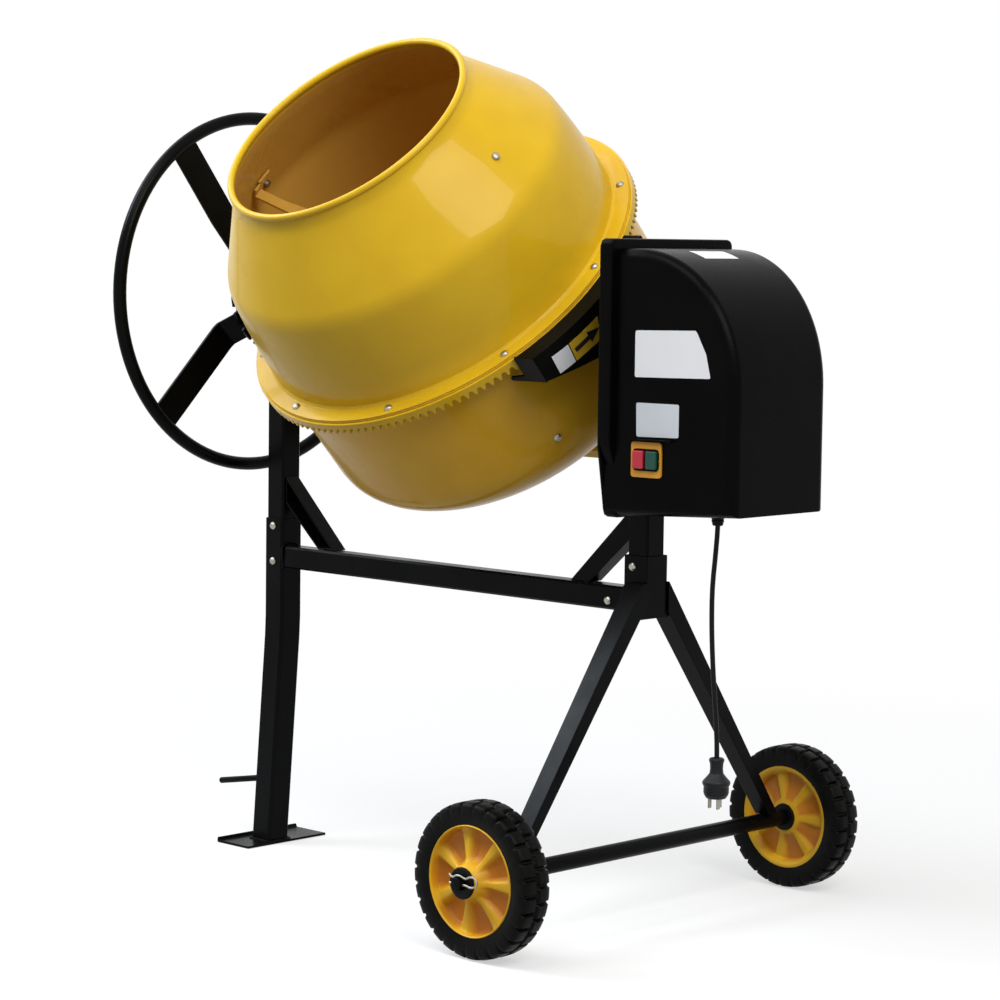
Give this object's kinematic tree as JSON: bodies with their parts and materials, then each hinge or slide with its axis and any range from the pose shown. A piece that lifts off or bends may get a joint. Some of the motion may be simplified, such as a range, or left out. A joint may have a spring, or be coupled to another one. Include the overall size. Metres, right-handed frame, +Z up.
{
  "type": "concrete mixer",
  "caption": "Tilting-drum concrete mixer: a belt-driven drum with mixing blades on a yoke turned by a side hand wheel, over a two-post frame with a foot and two wheels.",
  "frame": {"origin": "middle of the footprint, on the floor", "axes": "+X along the tilt axis from the hand wheel to the motor housing, -Y the side the drum mouth leans to at rest, +Z up"},
  "size_m": [1.0483, 0.712, 1.1626],
  "materials": {
    "black_paint": "gloss",
    "yellow_paint": "gloss",
    "zinc": "zinc plated",
    "steel": "machined",
    "motor_casing": "satin",
    "housing_plastic": "fine texture",
    "flex_rubber": "satin",
    "tyre_rubber": "matte",
    "rim_plastic": "satin",
    "switch_orange": "satin",
    "stop_red": "gloss",
    "start_green": "gloss"
  },
  "bodies": {
    "frame": {"left_leg": "black_paint", "left_post": "black_paint", "foot_plate": "black_paint", "foot_peg": "black_paint", "crossbar": "black_paint", "left_brace": "black_paint", "right_brace": "black_paint", "right_post": "black_paint", "right_sleeve": "black_paint", "front_leg": "black_paint", "rear_leg": "black_paint", "axle": "black_paint", "bolt_left_upper": "zinc", "bolt_left_lower": "zinc", "bolt_right_post": "zinc", "bolt_crossbar": "zinc", "bearing_left": "steel", "bearing_right": "steel", "lock_plate": "black_paint", "housing_back": "black_paint", "motor_housing": "housing_plastic", "switch_box": "switch_orange", "switch_hood": "housing_plastic", "motor": "motor_casing", "belt": "flex_rubber", "cable_gland": "housing_plastic", "cord": "flex_rubber", "plug": "flex_rubber", "front_clip": "zinc", "rear_clip": "zinc"},
    "tilting_yoke": {"yoke": "yellow_paint", "trunnion_left": "steel", "trunnion_right": "steel", "drum_bearing": "housing_plastic", "hand_wheel": "black_paint", "pinion_guard": "housing_plastic"},
    "drum": {"drum_upper": "yellow_paint", "drum_lower": "yellow_paint", "ring_gear": "yellow_paint", "drum_shaft": "steel", "blade_a": "yellow_paint", "blade_b": "yellow_paint", "blade_bolt_a_upper": "zinc", "blade_bolt_a_lower": "zinc", "blade_bolt_b_upper": "zinc", "blade_bolt_b_lower": "zinc"},
    "pinion_drive": {"pinion": "steel", "pinion_shaft": "steel", "driven_pulley": "steel"},
    "motor_rotor": {"motor_shaft": "steel", "drive_pulley": "steel"},
    "front_wheel": {"front_rim": "rim_plastic", "front_tyre": "tyre_rubber", "front_bush": "housing_plastic"},
    "rear_wheel": {"rear_rim": "rim_plastic", "rear_tyre": "tyre_rubber", "rear_bush": "housing_plastic"},
    "stop_push": {"stop_button": "stop_red"},
    "start_push": {"start_button": "start_green"}
  },
  "joints": [
    {"name": "tilt", "type": "hinge", "parent": "frame", "child": "tilting_yoke", "pos_m": [-0.05285, 0, 0.8106], "axis": [1, 0, 0], "range_deg": [-80, 90]},
    {"name": "drum_spin", "type": "hinge", "parent": "tilting_yoke", "child": "drum", "pos_m": [-0.05285, 0, 0.8106], "axis": [0, -0.6833, 0.7302], "continuous": true},
    {"name": "pinion_spin", "type": "hinge", "parent": "tilting_yoke", "child": "pinion_drive", "pos_m": [-0.05285, 0, 0.8106], "axis": [1, 0, 0], "continuous": true},
    {"name": "motor_spin", "type": "hinge", "parent": "frame", "child": "motor_rotor", "pos_m": [-0.05285, 0, 0.625], "axis": [1, 0, 0], "continuous": true},
    {"name": "front_wheel_spin", "type": "hinge", "parent": "frame", "child": "front_wheel", "pos_m": [0.31085, -0.31, 0.099], "axis": [0, 1, 0], "continuous": true},
    {"name": "rear_wheel_spin", "type": "hinge", "parent": "frame", "child": "rear_wheel", "pos_m": [0.31085, 0.31, 0.099], "axis": [0, 1, 0], "continuous": true},
    {"name": "stop_press", "type": "slide", "parent": "frame", "child": "stop_push", "axis": [-0.0871, 0.9962, 0], "range_m": [0, 0.0035], "stiffness_N_per_m": 600},
    {"name": "start_press", "type": "slide", "parent": "frame", "child": "start_push", "axis": [-0.0871, 0.9962, 0], "range_m": [0, 0.0035], "stiffness_N_per_m": 600}
  ],
  "couplings": [
    {"joint": "pinion_spin", "follows": "drum_spin", "ratio": -8.3333},
    {"joint": "motor_spin", "follows": "drum_spin", "ratio": -35.589}
  ]
}
